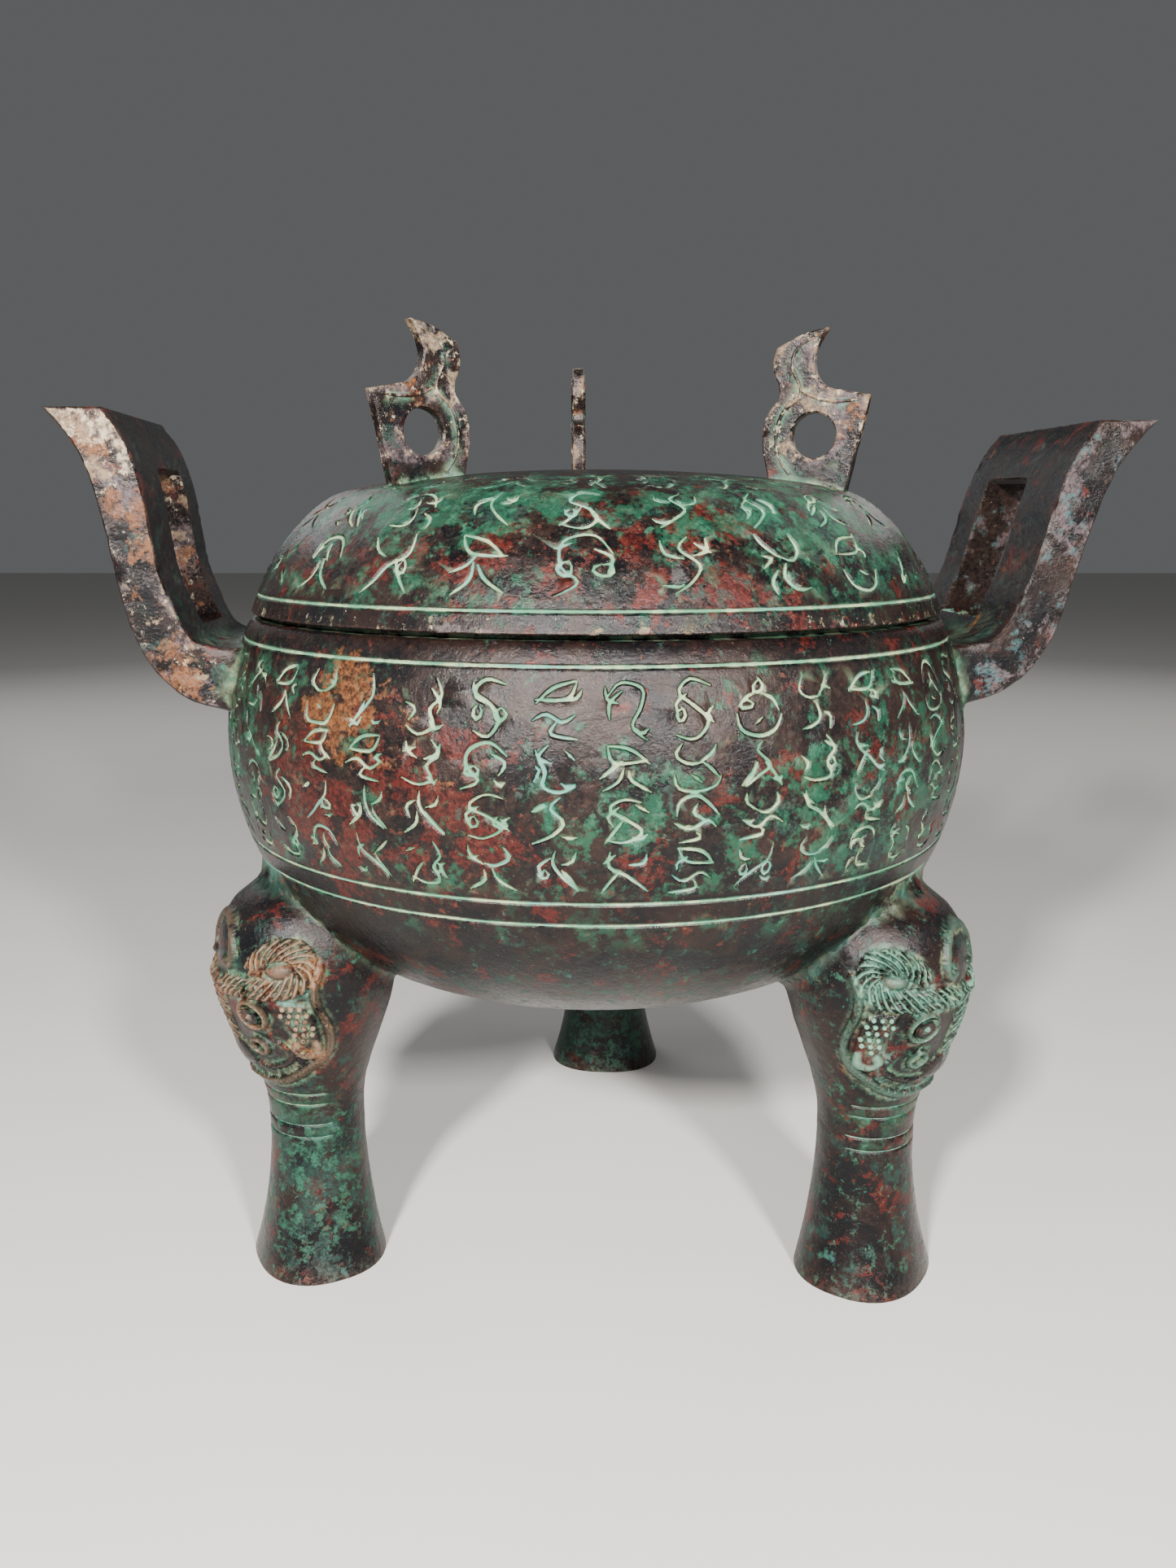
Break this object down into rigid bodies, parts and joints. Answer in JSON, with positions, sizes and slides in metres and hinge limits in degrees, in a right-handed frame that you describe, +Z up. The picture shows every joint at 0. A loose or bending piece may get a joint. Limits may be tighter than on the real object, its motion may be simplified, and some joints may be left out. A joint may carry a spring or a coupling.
{
  "type": "lidded ding vessel",
  "caption": "Round lidded bronze ding: a deep bowl on masked legs, with slotted upright ears, a domed lid with ringed flame knobs, and incised strokes.",
  "frame": {"origin": "middle of the object's plan, at the height of the soles", "axes": "+Z up, X from the left ear to the right ear, -Y to the front, from which the left and the right leg show"},
  "size_m": [0.3646, 0.2741, 0.3173],
  "materials": {
    "vessel_bronze": "dark brown and black patina with green and red patches, satin",
    "lid_bronze": "green patina over dark brown, satin"
  },
  "bodies": {
    "root": {"vessel": "vessel_bronze", "lid": "lid_bronze"}
  },
  "joints": []
}
